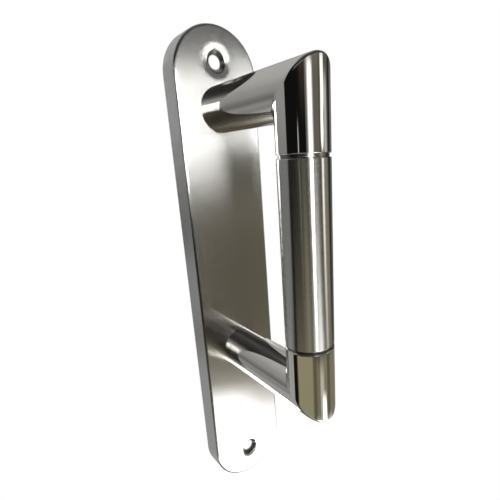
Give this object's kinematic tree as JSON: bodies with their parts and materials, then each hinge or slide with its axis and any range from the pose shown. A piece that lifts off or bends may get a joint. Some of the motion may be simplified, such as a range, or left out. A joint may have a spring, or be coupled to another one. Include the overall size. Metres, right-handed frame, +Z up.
{
  "type": "door pull handle on back plate",
  "caption": "Straight tubular pull handle with polished mitred ends and a satin grip, standing on a pressed obround back plate with countersunk screw holes.",
  "frame": {"origin": "centre of the plate's back plane, which lies on the door", "axes": "+Y into the door, -Y towards the hand, +Z up along the plate, X across the plate"},
  "size_m": [0.041, 0.0745, 0.2316],
  "materials": {
    "plate": "satin, brushed along its length",
    "grip": "satin, brushed round the tube",
    "elbow": "mirror polished",
    "sleeve": "as turned",
    "plug": "as turned",
    "fixing": "bright zinc plated"
  },
  "bodies": {
    "root": {"back_plate": "plate", "grip_tube": "grip", "upper_elbow": "elbow", "lower_elbow": "elbow", "upper_sleeve": "sleeve", "lower_sleeve": "sleeve", "upper_plug": "plug", "lower_plug": "plug", "upper_washer": "fixing", "lower_washer": "fixing", "upper_fixing_screw": "fixing", "lower_fixing_screw": "fixing"}
  },
  "joints": []
}
